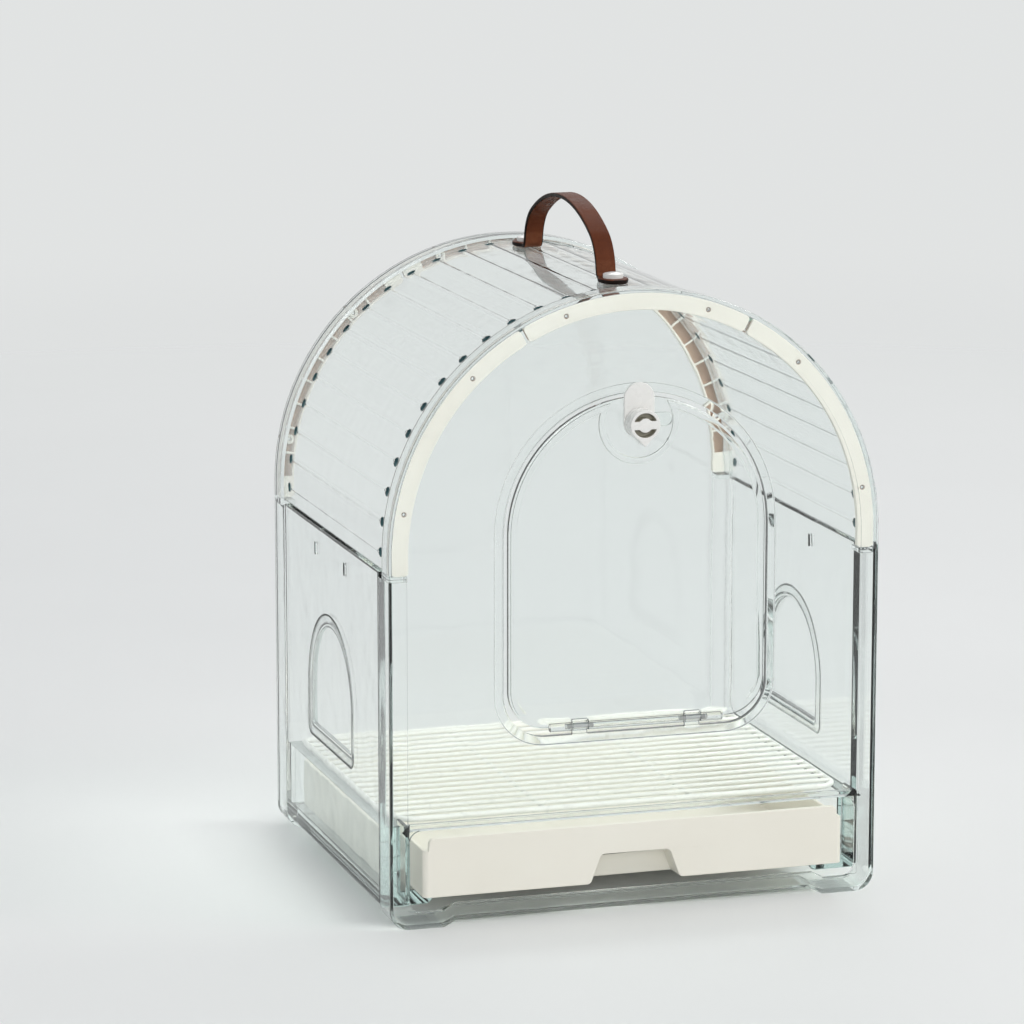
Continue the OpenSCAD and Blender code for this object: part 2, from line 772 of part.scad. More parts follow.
// Outline of the finger notch, grown by wall
module notch_outline(wall) {
    polygon([[-notch_w / 2 - wall, -wall - 1], [-notch_w / 2 - wall, 0],
             [-notch_top_w / 2 - wall, notch_h + wall], [notch_top_w / 2 + wall, notch_h + wall],
             [notch_w / 2 + wall, 0], [notch_w / 2 + wall, -wall - 1]]);
}

module drip_tray() {
    front_y = -half_d + tray_set_back;
    color([0.94, 0.92, 0.86]) translate([0, 0, tray_z]) difference() {
        union() {
            difference() {
                translate([0, front_y, 0]) linear_extrude(tray_h)
                    rounded(-tray_w / 2, 0, tray_w / 2, tray_l, tray_corner_r);
                translate([0, front_y, tray_t]) linear_extrude(tray_h)
                    rounded(-tray_w / 2 + tray_t, tray_front_t, tray_w / 2 - tray_t, tray_l - tray_t,
                            tray_corner_r - tray_t);
            }
            // Raised front wall
            upright(front_y, front_y + tray_front_t)
                rounded(-tray_w / 2 + tray_corner_r, 0, tray_w / 2 - tray_corner_r, tray_front_h, 3);
            // Walls of the finger pocket
            upright(front_y, front_y + notch_d + tray_t) intersection() {
                notch_outline(tray_t);
                translate([-tray_w / 2, 0]) square([tray_w, tray_front_h]);
            }
        }
        upright(front_y - 1, front_y + notch_d) notch_outline(0);
    }
}

// Strap seen from the side: a flat three-centred arch that turns out into flat ends
module strap_profile() {
    span = strap_span / 2;
    inner_r = strap_shoulder_r;
    rise = strap_rise - crease_r;
    crown_r = ((span - inner_r) ^ 2 + rise ^ 2 - inner_r ^ 2) / (2 * (rise - inner_r));
    lean = atan((span - inner_r) / (crown_r - rise));
    base_z = strap_z + crease_r;
    translate([0, base_z - crown_r + rise]) sector(crown_r, crown_r + strap_t, 89.5 - lean, 90.5 + lean);
    for (side = [0, 1]) mirror([side, 0]) {
        translate([span - inner_r, base_z]) sector(inner_r, inner_r + strap_t, -0.5, 90 - lean);
        translate([span + strap_t + crease_r, base_z + strap_t])
            sector(crease_r, crease_r + strap_t, 180, 272);
        translate([span, base_z - 0.1]) square([strap_t, strap_t + 0.2]);
    }
}

module paddle_outline() {
    start = strap_span / 2 + strap_t + crease_r;
    hull() {
        translate([-strap_w / 2, start - 0.4]) square([strap_w, 1]);
        translate([0, screw_y]) circle(paddle_r, $fn = 32);
    }
    hull() {
        translate([0, screw_y]) circle(paddle_r, $fn = 32);
        translate([0, screw_y + 4]) circle(paddle_r - 1.5, $fn = 32);
    }
}

module handle_strap() {
    color([0.42, 0.2, 0.11]) difference() {
        union() {
            sideways(-strap_w / 2, strap_w / 2) strap_profile();
            for (side = [0, 1]) mirror([0, side, 0])
                translate([0, 0, strap_z]) linear_extrude(strap_t) paddle_outline();
        }
        for (side = [-1, 1]) translate([0, side * screw_y, strap_z - 1])
            cylinder(h = strap_t + 2, r = eyelet_r + 0.05, $fn = 32);
    }
}

// Metal rings that line the strap's holes
module handle_eyelets() {
    color("silver") for (side = [-1, 1]) translate([0, side * screw_y, strap_z]) difference() {
        cylinder(h = strap_t, r = eyelet_r, $fn = 32);
        translate([0, 0, -1]) cylinder(h = strap_t + 2, r = screw_r + 0.15, $fn = 32);
    }
}

// Screws with smooth round caps
module handle_screws() {
    top_z = strap_z + strap_t;
    color([0.96, 0.95, 0.92]) for (side = [-1, 1]) translate([0, side * screw_y, top_z]) {
        cylinder(h = cap_h - 1, r = cap_r, $fn = 48);
        intersection() {
            translate([0, 0, cap_h - 3 * cap_r]) sphere(3 * cap_r);
            cylinder(h = cap_h, r = cap_r - 0.3, $fn = 48);
        }
        translate([0, 0, -screw_l]) cylinder(h = screw_l + eps, r = screw_r, $fn = 32);
    }
}

// Round nuts under the crown of the shell
module handle_nuts() {
    color([0.96, 0.95, 0.92]) for (side = [-1, 1])
        translate([0, side * screw_y, crest_z - shell_t - nut_h - 0.2]) difference() {
            cylinder(h = nut_h, r = nut_r, $fn = 48);
            translate([0, 0, -1]) cylinder(h = nut_h + 2, r = screw_r + 0.1, $fn = 32);
        }
}

placed() arch_shell();
placed() handle_nuts();
placed() front_cover();
placed() rear_cover();
placed() front_trim_left();
placed() front_trim_middle();
placed() front_trim_right();
placed() rear_trim_left();
placed() rear_trim_middle();
placed() rear_trim_right();
placed() door();
placed() door_hinge_pins();
placed() lock_plate();
placed() lock_knob();
placed() lock_cam();
placed() lock_screw();
placed() left_side_panel();
placed() right_side_panel();
placed() left_feeder_cover();
placed() right_feeder_cover();
placed() wire_grate();
placed() drip_tray();
placed() handle_strap();
placed() handle_eyelets();
placed() handle_screws();
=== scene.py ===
"""Looks of the bird travel carrier: clear plastic, white trims, grate and tray, leather strap."""

import json
import math

import bmesh
import bpy
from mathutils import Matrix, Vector


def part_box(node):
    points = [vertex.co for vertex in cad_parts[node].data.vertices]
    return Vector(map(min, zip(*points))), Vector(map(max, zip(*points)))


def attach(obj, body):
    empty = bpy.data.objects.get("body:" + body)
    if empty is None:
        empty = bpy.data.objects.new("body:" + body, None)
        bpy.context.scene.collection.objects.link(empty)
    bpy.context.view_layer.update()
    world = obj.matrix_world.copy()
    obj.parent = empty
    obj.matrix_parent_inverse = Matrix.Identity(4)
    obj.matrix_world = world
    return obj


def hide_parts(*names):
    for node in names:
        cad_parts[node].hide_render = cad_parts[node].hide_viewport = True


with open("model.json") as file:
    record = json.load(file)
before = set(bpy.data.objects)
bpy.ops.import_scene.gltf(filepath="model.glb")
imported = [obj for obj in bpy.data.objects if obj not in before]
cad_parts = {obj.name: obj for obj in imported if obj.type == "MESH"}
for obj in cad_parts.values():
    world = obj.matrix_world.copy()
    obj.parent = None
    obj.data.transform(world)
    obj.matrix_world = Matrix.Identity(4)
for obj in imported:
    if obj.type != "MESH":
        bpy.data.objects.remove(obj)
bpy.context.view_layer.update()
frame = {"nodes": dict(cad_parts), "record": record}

MM = 0.001
NODES = frame["nodes"]
BODY_OF = {n: b for b, names in frame["record"]["behaviour"]["bodies"].items() for n in names}
SLOT_OF = {s["node"]: s["material_slot"] for s in frame["record"]["subparts"]}
scene = bpy.context.scene

# Camera
CAMERA_AT = (-0.7225, -2.2056, 0.6452)
CAMERA_DOWN, CAMERA_TURN = 11.17, -17.37  # degrees

camera_data = bpy.data.cameras.new("camera")
camera_data.sensor_width = 36.0
camera_data.lens = 158.55
camera_data.clip_start, camera_data.clip_end = 0.05, 60.0
camera = bpy.data.objects.new("camera", camera_data)
scene.collection.objects.link(camera)
camera.location = CAMERA_AT
camera.rotation_euler = (math.radians(90 - CAMERA_DOWN), 0.0, math.radians(CAMERA_TURN))
scene.camera = camera


class Tree:
    """A new material, with short ways to make and join its shader nodes."""

    def __init__(self, name):
        self.material = bpy.data.materials.new(name)
        self.material.use_nodes = True
        self.nodes = self.material.node_tree.nodes
        self.links = self.material.node_tree.links
        self.nodes.clear()
        self.out = self.nodes.new("ShaderNodeOutputMaterial")
        self.coords = None

    def join(self, source, target):
        self.links.new(source, target)

    def set(self, socket, value):
        """Sets the socket to a number or colour, or links it to another node's output."""
        if isinstance(value, bpy.types.NodeSocket):
            self.links.new(value, socket)
        elif isinstance(value, (tuple, list)) and len(value) == 3 and socket.type == "RGBA":
            socket.default_value = (*value, 1.0)
        else:
            socket.default_value = value

    def principled(self, **inputs):
        node = self.nodes.new("ShaderNodeBsdfPrincipled")
        for key, value in inputs.items():
            self.set(node.inputs[key.replace("_", " ")], value)
        return node.outputs[0]

    def see_through(self, colour=(1.0, 1.0, 1.0)):
        """Lets light through unbent."""
        node = self.nodes.new("ShaderNodeBsdfTransparent")
        self.set(node.inputs["Color"], colour)
        return node.outputs[0]

    def mixed(self, fac, first, second):
        node = self.nodes.new("ShaderNodeMixShader")
        for socket, source in zip(node.inputs, (fac, first, second)):
            self.join(source, socket)
        return node.outputs[0]

    def place(self):
        """The point's place on its object."""
        if self.coords is None:
            self.coords = self.nodes.new("ShaderNodeTexCoord")
        return self.coords.outputs["Object"]

    def noise(self, scale, detail, rough, distortion=0.0):
        node = self.nodes.new("ShaderNodeTexNoise")
        self.set(node.inputs["Scale"], scale)
        self.set(node.inputs["Detail"], detail)
        self.set(node.inputs["Roughness"], rough)
        self.set(node.inputs["Distortion"], distortion)
        self.join(self.place(), node.inputs["Vector"])
        return node.outputs["Fac"]

    def cell_edges(self, scale):
        """Distance from the borders between random cells."""
        node = self.nodes.new("ShaderNodeTexVoronoi")
        node.feature = "DISTANCE_TO_EDGE"
        self.set(node.inputs["Scale"], scale)
        self.join(self.place(), node.inputs["Vector"])
        return node.outputs["Distance"]

    def span(self, value, low, high, to_low=0.0, to_high=1.0, smooth=False):
        """The value's range from low to high, brought to another range."""
        node = self.nodes.new("ShaderNodeMapRange")
        node.interpolation_type = "SMOOTHSTEP" if smooth else "LINEAR"
        ends = {"From Min": low, "From Max": high, "To Min": to_low, "To Max": to_high}
        for key, end in ends.items():
            self.set(node.inputs[key], end)
        self.join(value, node.inputs["Value"])
        return node.outputs["Result"]

    def math(self, kind, *values):
        node = self.nodes.new("ShaderNodeMath")
        node.operation = kind
        for socket, value in zip(node.inputs, values):
            self.set(socket, value)
        return node.outputs[0]

    def blend(self, fac, a, b):
        """Colour between a and b."""
        node = self.nodes.new("ShaderNodeMix")
        node.data_type = "RGBA"
        self.set(node.inputs[0], fac)
        self.set(node.inputs[6], a)
        self.set(node.inputs[7], b)
        return node.outputs[2]

    def bump(self, height, strength, distance):
        node = self.nodes.new("ShaderNodeBump")
        self.set(node.inputs["Strength"], strength)
        self.set(node.inputs["Distance"], distance)
        self.join(height, node.inputs["Height"])
        return node.outputs["Normal"]

    def attribute(self, name):
        node = self.nodes.new("ShaderNodeAttribute")
        node.attribute_name = name
        return node.outputs["Fac"]

    def finish(self, shader, volume=None):
        self.join(shader, self.out.inputs["Surface"])
        if volume is not None:
            self.join(volume, self.out.inputs["Volume"])
        return self.material


# Materials
SHEET_COLOUR = (0.975, 0.992, 0.985)
SHEET_SHADOW = (0.942, 0.955, 0.950)
TEAL = (0.46, 0.81, 0.75)


def clear_plastic(name, density, wave, rough_low=0.015, rough_high=0.05):
    """Clear sheet that bends light, teal where light runs far inside it, with faint waves and smears."""
    t = Tree(name)
    smears = t.noise(38.0, 4.0, 0.6, distortion=0.4)
    waves = t.noise(60.0, 1.0, 0.4)
    body = t.principled(
        Base_Color=SHEET_COLOUR,
        Transmission_Weight=1.0,
        IOR=1.49,
        Specular_IOR_Level=0.5,
        Roughness=t.span(smears, 0.35, 0.75, rough_low, rough_high),
        Normal=t.bump(waves, wave, 0.0004),
    )
    shadow = t.see_through(SHEET_SHADOW)
    path = t.nodes.new("ShaderNodeLightPath")
    surface = t.mixed(path.outputs["Is Shadow Ray"], body, shadow)
    soak = t.nodes.new("ShaderNodeVolumeAbsorption")
    t.set(soak.inputs["Color"], TEAL)
    t.set(soak.inputs["Density"], density)
    return t.finish(surface, soak.outputs[0])


def moulded_plastic(name, colour, shade, rough, grain, coat=0.0):
    """Opaque moulded plastic: a slight mottling, fine grain and soft gloss."""
    t = Tree(name)
    mottle = t.noise(14.0, 3.0, 0.55)
    fine = t.noise(2400.0, 2.0, 0.6)
    broad = t.noise(220.0, 2.0, 0.5)
    tint = t.blend(t.span(mottle, 0.3, 0.7), colour, shade)
    height = t.math("MULTIPLY_ADD", broad, 0.5, fine)
    shader = t.principled(
        Base_Color=tint,
        Roughness=t.span(broad, 0.3, 0.7, rough - 0.05, rough + 0.07),
        IOR=1.5,
        Normal=t.bump(height, grain, 0.00006),
        Coat_Weight=coat,
        Coat_Roughness=0.12,
    )
    return t.finish(shader)


def metal(name, colour, rough, streak):
    """Bare metal with fine streaks."""
    t = Tree(name)
    fine = t.noise(900.0, 3.0, 0.6)
    shader = t.principled(
        Base_Color=t.blend(t.span(fine, 0.3, 0.7), colour, tuple(0.86 * c for c in colour)),
        Metallic=1.0,
        Roughness=t.span(fine, 0.25, 0.75, rough, rough + 0.1),
        Normal=t.bump(fine, streak, 0.00003),
    )
    return t.finish(shader)


def leather(name):
    """Red-brown leather: pebbled grain, cloudy tone, dark painted edges, lighter stretched bends."""
    t = Tree(name)
    cloud = t.noise(55.0, 4.0, 0.6)
    pores = t.cell_edges(1150.0)
    wrinkle = t.noise(420.0, 5.0, 0.65, distortion=0.6)
    fibre = t.noise(2600.0, 2.0, 0.6)
    edge = t.attribute("edge")
    bend = t.attribute("bend")
    base = t.blend(t.span(cloud, 0.3, 0.7), (0.100, 0.024, 0.008), (0.145, 0.039, 0.014))
    stretch = t.math("MULTIPLY", bend, t.span(wrinkle, 0.35, 0.65, 0.25, 0.75))
    pulled = t.blend(stretch, base, (0.21, 0.075, 0.035))
    grained = t.blend(t.span(pores, 0.0, 0.09, 0.45, 0.0), pulled, (0.040, 0.011, 0.006))
    painted = t.blend(t.span(edge, 0.35, 0.75, smooth=True), grained, (0.012, 0.006, 0.004))
    pebble = t.span(pores, 0.0, 0.25)
    height = t.math("MULTIPLY_ADD", wrinkle, 0.9, t.math("MULTIPLY_ADD", fibre, 0.15, pebble))
    shader = t.principled(
        Base_Color=painted,
        Roughness=t.span(cloud, 0.3, 0.7, 0.46, 0.62),
        IOR=1.5,
        Normal=t.bump(height, 0.35, 0.00014),
        Specular_IOR_Level=0.12,
    )
    return t.finish(shader)


MATERIALS = {
    "clear_shell": clear_plastic("shell_acrylic", density=7.0, wave=0.16),
    "clear_cover": clear_plastic("cover_acrylic", density=6.5, wave=0.22),
    "clear_panel": clear_plastic("panel_acrylic", density=3.4, wave=0.22),
    "clear_door": clear_plastic("door_acrylic", density=6.5, wave=0.20),
    "clear_feeder": clear_plastic("feeder_acrylic", density=7.0, wave=0.25),
    "clear_cam": clear_plastic("cam_acrylic", density=9.0, wave=0.20, rough_low=0.05, rough_high=0.12),
    "trim_white": moulded_plastic(
        "trim_plastic", (0.86, 0.825, 0.77), (0.83, 0.785, 0.72), rough=0.38, grain=0.35),
    "lock_white": moulded_plastic(
        "lock_plastic", (0.85, 0.845, 0.82), (0.82, 0.815, 0.79), rough=0.28, grain=0.12, coat=0.2),
    "tray_white": moulded_plastic(
        "tray_plastic", (0.88, 0.855, 0.77), (0.85, 0.82, 0.73), rough=0.44, grain=0.5),
    "grate_wire": moulded_plastic(
        "wire_coating", (0.86, 0.86, 0.83), (0.82, 0.82, 0.78), rough=0.30, grain=0.3, coat=0.2),
    "cap_white": moulded_plastic(
        "cap_plastic", (0.82, 0.815, 0.79), (0.79, 0.785, 0.76), rough=0.22, grain=0.08, coat=0.3),
    "eyelet_metal": metal("eyelet_chrome", (0.82, 0.82, 0.81), rough=0.10, streak=0.1),
    "pin_steel": metal("pin_steel", (0.60, 0.60, 0.61), rough=0.26, streak=0.3),
    "strap_leather": leather("strap_leather"),
    # Painted shade: brown for the trims' pockets and pin holes, where shade falls in them
    "trim_pocket": moulded_plastic(
        "trim_pocket_shade", (0.42, 0.29, 0.215), (0.32, 0.21, 0.155), rough=0.5, grain=0.4),
    # Painted shade: dark grey for the knob's crescent recesses, where shade falls in them
    "lock_recess": moulded_plastic(
        "lock_recess_shade", (0.46, 0.44, 0.37), (0.40, 0.38, 0.31), rough=0.5, grain=0.2),
    # Painted shade: dark teal on the vents' walls for the dark look of light bent in the cut holes, on a
    # rough frosted cut
    "vent_wall": moulded_plastic(
        "frosted_cut_painted_shade", (0.020, 0.070, 0.080), (0.030, 0.090, 0.100), rough=0.42, grain=0.4),
}

for node, slot in SLOT_OF.items():
    for material_slot in NODES[node].material_slots:
        material_slot.material = MATERIALS[slot]


# Rounded copies of the solids
ROUNDING = {  # mm
    "arch_shell": 0.25, "front_cover": 0.35, "rear_cover": 0.35, "door": 0.4,
    "left_side_panel": 0.6, "right_side_panel": 0.6,
    "left_feeder_cover": 0.35, "right_feeder_cover": 0.35, "drip_tray": 0.5,
    "front_trim_left": 0.25, "front_trim_middle": 0.25, "front_trim_right": 0.25,
    "rear_trim_left": 0.25, "rear_trim_middle": 0.25, "rear_trim_right": 0.25,
    "lock_plate": 0.35, "lock_knob": 0.35, "lock_cam": 0.3,
}
SAME_POINT, SAME_ROUNDED_POINT = 2e-6, 1e-6  # metres between vertices that are merged
CUT_BESIDE_MIDDLE = 0.013 * MM  # keeps the halving cuts off the solids' own vertices
FLAT_WITHIN = 0.8  # degrees between faces that are joined into one
SHARP_ABOVE = 32.0  # degrees between faces whose edge is rounded
ROUNDING_STEPS = 2
NOTCH_ROUNDING, NOTCH_STEPS = 1.8 * MM, 5
FACING_SLACK = 0.008  # share of area that a good copy may lose or gain in one direction
NOTCH_EDGE_MIN, NOTCH_REACH, NOTCH_DEPTH = 2, 45, 6  # mm
NOTCH_STRAIGHT = 0.95  # share of an edge's length that runs front to back


def facing(mesh):
    """Area of the mesh that looks each way, as six sums."""
    mesh.calc_loop_triangles()
    sums = [0.0] * 6
    for face in mesh.loop_triangles:
        for i in range(3):
            part = face.normal[i] * face.area
            sums[2 * i + (part < 0)] += abs(part)
    return sums


def halve(bm):
    """Cuts the mesh across its middle three ways and gives the cuts' edges."""
    seams = set()
    for i in range(3):
        low, high = (f(v.co[i] for v in bm.verts) for f in (min, max))
        middle = Vector([(low + high) / 2 + CUT_BESIDE_MIDDLE if j == i else 0.0 for j in range(3)])
        across = Vector([1.0 if j == i else 0.0 for j in range(3)])
        found = bmesh.ops.bisect_plane(
            bm, geom=bm.verts[:] + bm.edges[:] + bm.faces[:], dist=1e-7,
            plane_co=middle, plane_no=across)["geom_cut"]
        seams |= {e for e in found if isinstance(e, bmesh.types.BMEdge)}
    return {e for e in seams if e.is_valid}


def sharp_edges(bm):
    """Edges that are sharp enough to be rounded."""
    limit = math.radians(SHARP_ABOVE)
    return [e for e in bm.edges if len(e.link_faces) == 2 and e.calc_face_angle(0.0) > limit]


def rounded_mesh(source, width, way, wide):
    """A copy of the mesh with its sharp edges rounded, more where the wide test takes an edge.

    The way says how flat faces are joined first: all, each side of the middle alone, or as built.
    """
    bm = bmesh.new()
    bm.from_mesh(source)
    bmesh.ops.remove_doubles(bm, verts=bm.verts, dist=SAME_POINT)
    seams = halve(bm) if way == "halves" else set()
    if way != "as_built":
        bmesh.ops.dissolve_limit(bm, angle_limit=math.radians(FLAT_WITHIN), verts=bm.verts,
                                 edges=[e for e in bm.edges if e not in seams])
    if wide is not None:
        bmesh.ops.bevel(bm, geom=[e for e in sharp_edges(bm) if wide(e)], offset=NOTCH_ROUNDING,
                        segments=NOTCH_STEPS, profile=0.5, affect="EDGES", clamp_overlap=True)
        bmesh.ops.remove_doubles(bm, verts=bm.verts, dist=SAME_ROUNDED_POINT)
    bmesh.ops.bevel(bm, geom=sharp_edges(bm), offset=width, segments=ROUNDING_STEPS, profile=0.6,
                    affect="EDGES", clamp_overlap=False, miter_outer="ARC", loop_slide=True)
    bmesh.ops.remove_doubles(bm, verts=bm.verts, dist=SAME_ROUNDED_POINT)
    bmesh.ops.triangulate(bm, faces=[f for f in bm.faces if len(f.verts) > 4])
    mesh = bpy.data.meshes.new("rounded")
    bm.to_mesh(mesh)
    bm.free()
    return mesh


def softened(node, width, wide=None):
    """The node's own shape with its sharp edges rounded, riding where the node rides.

    Joined flat faces round best, but joining can close an opening. The first copy whose faces
    look the same ways as the node's is kept, or else the one that comes nearest.
    """
    source = NODES[node].data
    wanted = facing(source)
    tries = []
    for way in ("joined", "halves", "as_built"):
        mesh = rounded_mesh(source, width, way, wide)
        off = max(abs(a / b - 1) if b > 1e-9 else 0.0 for a, b in zip(facing(mesh), wanted))
        tries.append((off, len(tries), mesh))
        if off < FACING_SLACK:
            break
    mesh = min(tries)[2]
    mesh.name = node + "_look"
    mesh.shade_smooth()
    piece = bpy.data.objects.new(node + "_look", mesh)
    scene.collection.objects.link(piece)
    mesh.materials.append(MATERIALS[SLOT_OF[node]])
    even = piece.modifiers.new("even", "WEIGHTED_NORMAL")
    even.weight = 60
    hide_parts(node)
    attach(piece, BODY_OF[node])
    return piece


def notch_corner(edge):
    """Whether this is a long edge of the finger notch in the tray's front, running front to back."""
    a, b = (v.co for v in edge.verts)
    length = (a - b).length
    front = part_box("drip_tray")[0].y
    runs_back = length > NOTCH_EDGE_MIN * MM and abs(a.y - b.y) > NOTCH_STRAIGHT * length
    return runs_back and abs(a.x) < NOTCH_REACH * MM and min(a.y, b.y) < front + NOTCH_DEPTH * MM


pieces = {
    node: softened(node, width * MM, wide=notch_corner if node == "drip_tray" else None)
    for node, width in ROUNDING.items()
}

# Painted shade for the trims' pockets and pin holes, the knob's recesses and the shell's vents. Lengths
# in mm, angles in degrees
POCKET_FROM_RIM = (1.1, 7.1)  # from the trim's outer edge inwards
POCKET_DEEP = (0.45, 2.0)  # from the trim's open side
PIN_FROM_RIM, PIN_REACH, PIN_DEEP = 4.3, 1.3, 0.3
PIN_TURNS = (10.5, 46.0, 72.4, 107.6, 134.0, 169.5)
KNOB_AXIS_FROM_TOP = 7.8
RECESS_RADIUS, RECESS_DEEP = 6.35, (0.6, 5.6)
VENT_COUNT, VENT_OFF_CENTRE, VENT_REACH = 27, 90.0, 2.44  # in each row, beside the middle
VENT_WALL, VENT_LOWEST = 2.6, -3  # below the shell's outer face, above its axis

shell_low, shell_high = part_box("arch_shell")
shell_radius = (shell_high.x - shell_low.x) / 2
shell_axis_z = shell_high.z - shell_radius
trim_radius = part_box("front_trim_middle")[1].z - shell_axis_z
knob_low, knob_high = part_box("lock_knob")


def paint_shade_on_faces(piece, slot, inside):
    """Gives a second material with painted shade to the faces whose centre the test takes."""
    piece.data.materials.append(MATERIALS[slot])
    for face in piece.data.polygons:
        if inside(face.center):
            face.material_index = 1


def pocket_test(node):
    """Test for the pockets and pin holes of a trim arc, from its open side inwards, which get painted
    shade.
    """
    low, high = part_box(node)
    open_y = high.y if node.startswith("front") else low.y

    def inside(p):
        out = math.hypot(p.x, p.z - shell_axis_z)
        deep = abs(p.y - open_y)
        turn = math.atan2(p.z - shell_axis_z, p.x)
        for pin in PIN_TURNS:
            along = trim_radius * (turn - math.radians(pin))
            if math.hypot(out - (trim_radius - PIN_FROM_RIM * MM), along) < PIN_REACH * MM:
                return deep > PIN_DEEP * MM
        near, far = (trim_radius - d * MM for d in POCKET_FROM_RIM)
        return POCKET_DEEP[0] * MM < deep < POCKET_DEEP[1] * MM and far < out < near

    return inside


def knob_recess(p):
    """Whether the point is inside the crescent recesses of the knob, which get painted shade."""
    off = math.hypot(p.x, p.z - (knob_high.z - KNOB_AXIS_FROM_TOP * MM))
    shallow, deep = (knob_low.y + d * MM for d in RECESS_DEEP)
    return off < RECESS_RADIUS * MM and shallow < p.y < deep


def vent_wall(p):
    """Whether the point is on the wall of one of the shell's vents, which gets painted shade."""
    z = p.z - shell_axis_z
    out = math.hypot(p.x, z)
    turn = math.atan2(z, p.x)
    step = math.pi / (VENT_COUNT - 1)
    turn -= round(turn / step) * step
    along = abs(p.y - (shell_low.y + shell_high.y) / 2) - VENT_OFF_CENTRE * MM
    near = math.hypot(out * math.sin(turn), along) < VENT_REACH * MM
    return near and out > shell_radius - VENT_WALL * MM and z > VENT_LOWEST * MM


# Painted shade on the trims' pockets and pin holes, the knob's recesses and the vents' walls
for place in ("front", "rear"):
    for part in ("left", "middle", "right"):
        node = f"{place}_trim_{part}"
        paint_shade_on_faces(pieces[node], "trim_pocket", pocket_test(node))
paint_shade_on_faces(pieces["lock_knob"], "lock_recess", knob_recess)
paint_shade_on_faces(pieces["arch_shell"], "vent_wall", vent_wall)


# Leather strap. Lengths in mm
STRAP_Z = 318.0  # underside of its ends
SPAN, RISE, THICK, WIDTH = 119.0, 34.0, 2.2, 10.5
SHOULDER, CREASE = 22.0, 2.0  # inner radii of its bends
SCREW, PADDLE = 72.5, 7.75  # place of the screws and radius of the paddle round each
TIP, TIP_RADIUS = SCREW + 4, PADDLE - 1.5  # the narrower round at its very end
END = TIP + TIP_RADIUS
NECK = 1.5  # from the screw back to where the paddle meets the flare
FLARE_START = 63.7  # where the grip starts to widen
THINNEST = 0.35  # half width of its very tip
TIP_STEPS, TIP_LENGTH = (0.03, 0.12, 0.3, 0.6, 1.0, 1.6, 2.4), 3.4
FLAT_COUNT, CREASE_COUNT, SHOULDER_COUNT, CROWN_COUNT = 22, 8, 14, 20
BEND_GAP = 0.05  # radians left between the crease and the shoulder
RIM_ROUNDING, RIM_COUNT, COLUMNS = 0.8, 4, 10
LINE_DEPTH, LINE_FROM_RIM, LINE_WIDTH = 0.10, 1.7, 0.28  # pressed line along each edge
LINE_MIN_HALF = 3  # half width below which the strap has no line
TIP_RIM = 0.7  # painted length at its very tip
STRETCH_AT, STRETCH_WIDTH, STRETCH_HIGH = 61.5, 3.0, 9  # stretched leather at the creases
CROWN_WITHIN, CROWN_ABOVE = 45, 3  # where its upper side has to face up
HOLE_RADIUS, HOLE_DEPTH = 3.2, 10
shift_y = (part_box("handle_strap")[0].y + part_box("handle_strap")[1].y) / 2


def strap_path():
    """Middle line of the strap as (y, z), from one end to the other."""
    half = SPAN / 2
    mid = THICK / 2
    rise = RISE - CREASE
    crown = ((half - SHOULDER) ** 2 + rise**2 - SHOULDER**2) / (2 * (rise - SHOULDER))
    lean = math.atan((half - SHOULDER) / (crown - rise))
    base = STRAP_Z + CREASE
    start = half + THICK + CREASE
    side = [(END - step, STRAP_Z + mid) for step in TIP_STEPS]
    for i in range(FLAT_COUNT + 1):
        y = END - TIP_LENGTH + (start - END + TIP_LENGTH) * i / FLAT_COUNT
        side.append((y, STRAP_Z + mid))
    bend = CREASE + mid
    for i in range(1, CREASE_COUNT + 1):
        a = math.radians(270 - 90 * i / CREASE_COUNT)
        side.append((start + bend * math.cos(a), base + THICK + bend * math.sin(a)))
    bend = SHOULDER + mid
    first = math.asin(THICK / bend) + BEND_GAP
    last = math.pi / 2 - lean
    for i in range(SHOULDER_COUNT + 1):
        a = first + (last - first) * i / SHOULDER_COUNT
        side.append((half - SHOULDER + bend * math.cos(a), base + bend * math.sin(a)))
    bend = crown + mid
    top = []
    for i in range(1, CROWN_COUNT):
        a = math.pi / 2 - lean + 2 * lean * i / CROWN_COUNT
        top.append((bend * math.cos(a), base - crown + rise + bend * math.sin(a)))
    return side + top + [(-y, z) for y, z in reversed(side)]


def strap_half_width(y, flat):
    """Half width: straight along the grip, flaring into a pear-shaped end."""
    grip = WIDTH / 2
    if not flat:
        return grip
    y = abs(y)
    neck = SCREW - NECK
    if y <= neck:
        flare = min(max((y - FLARE_START) / (neck - FLARE_START), 0.0), 1.0)
        flare = flare * flare * (3 - 2 * flare)
        return grip + (math.sqrt(PADDLE**2 - NECK**2) - grip) * flare
    paddle = math.sqrt(max(PADDLE**2 - (y - SCREW) ** 2, 0.0))
    tip = math.sqrt(max(TIP_RADIUS**2 - (y - TIP) ** 2, 0.0)) if y > TIP else 0.0
    return max(paddle, tip, THINNEST)


